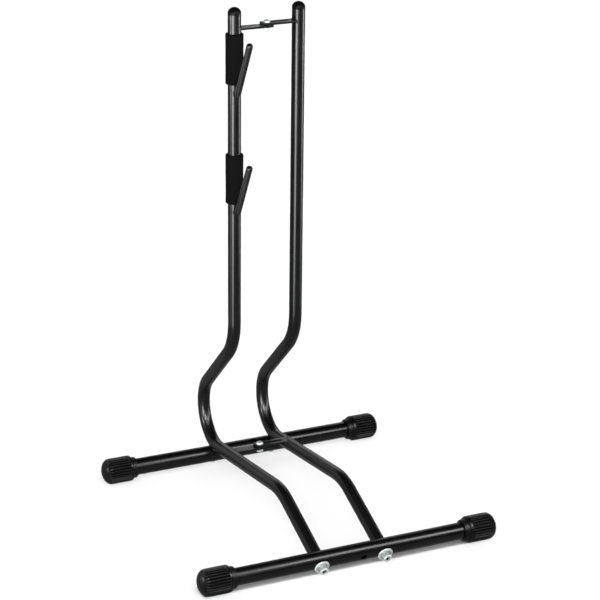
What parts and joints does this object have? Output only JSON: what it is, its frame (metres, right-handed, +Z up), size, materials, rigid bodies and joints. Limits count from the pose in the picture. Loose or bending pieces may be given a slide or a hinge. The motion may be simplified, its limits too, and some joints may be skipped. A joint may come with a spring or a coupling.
{
  "type": "floor bike stand",
  "caption": "Tubular floor stand that holds a bicycle by one wheel between two bent side tubes, with padded upright and wheel hooks on round cross bars",
  "frame": {"origin": "on the floor, in the middle of the stand's footprint", "axes": "+Z is up, +Y points from the front bar to the rear bar, +X is to the right of someone who looks along +Y"},
  "size_m": [0.46, 0.4543, 0.7392],
  "materials": {
    "bar_paint": "semi-gloss black powder coat on steel tube",
    "frame_paint": "semi-gloss dark grey powder coat on steel tube and strip",
    "cap_rubber": "satin black moulded rubber with lengthwise ribs",
    "plug_plastic": "smooth black moulded plastic with a soft shine",
    "sleeve_foam": "matt black closed-cell foam with a fine grain",
    "zinc_plate": "bright zinc plate on steel fasteners"
  },
  "bodies": {
    "root": {"front_cross_tube": "bar_paint", "rear_cross_tube": "bar_paint", "end_cap_front_left": "cap_rubber", "end_cap_front_right": "cap_rubber", "end_cap_rear_left": "cap_rubber", "end_cap_rear_right": "cap_rubber", "side_tube_left": "frame_paint", "side_tube_right": "frame_paint", "top_cap_left": "plug_plastic", "top_cap_right": "plug_plastic", "foam_sleeve_upper": "sleeve_foam", "foam_sleeve_lower": "sleeve_foam", "hook_rod_upper": "frame_paint", "hook_rod_lower": "frame_paint", "hook_cap_upper": "plug_plastic", "hook_cap_lower": "plug_plastic", "strap_top_left": "frame_paint", "strap_top_right": "frame_paint", "strap_rear_left": "frame_paint", "strap_rear_right": "frame_paint", "strap_bolt_top": "zinc_plate", "strap_bolt_rear": "zinc_plate", "strap_nut_top": "zinc_plate", "strap_nut_rear": "zinc_plate", "front_bolt_left": "zinc_plate", "front_bolt_right": "zinc_plate", "front_washer_left": "zinc_plate", "front_washer_right": "zinc_plate", "threaded_plug_left": "zinc_plate", "threaded_plug_right": "zinc_plate", "rear_bolt_left": "zinc_plate", "rear_bolt_right": "zinc_plate", "rivet_nut_left": "zinc_plate", "rivet_nut_right": "zinc_plate"}
  },
  "joints": []
}
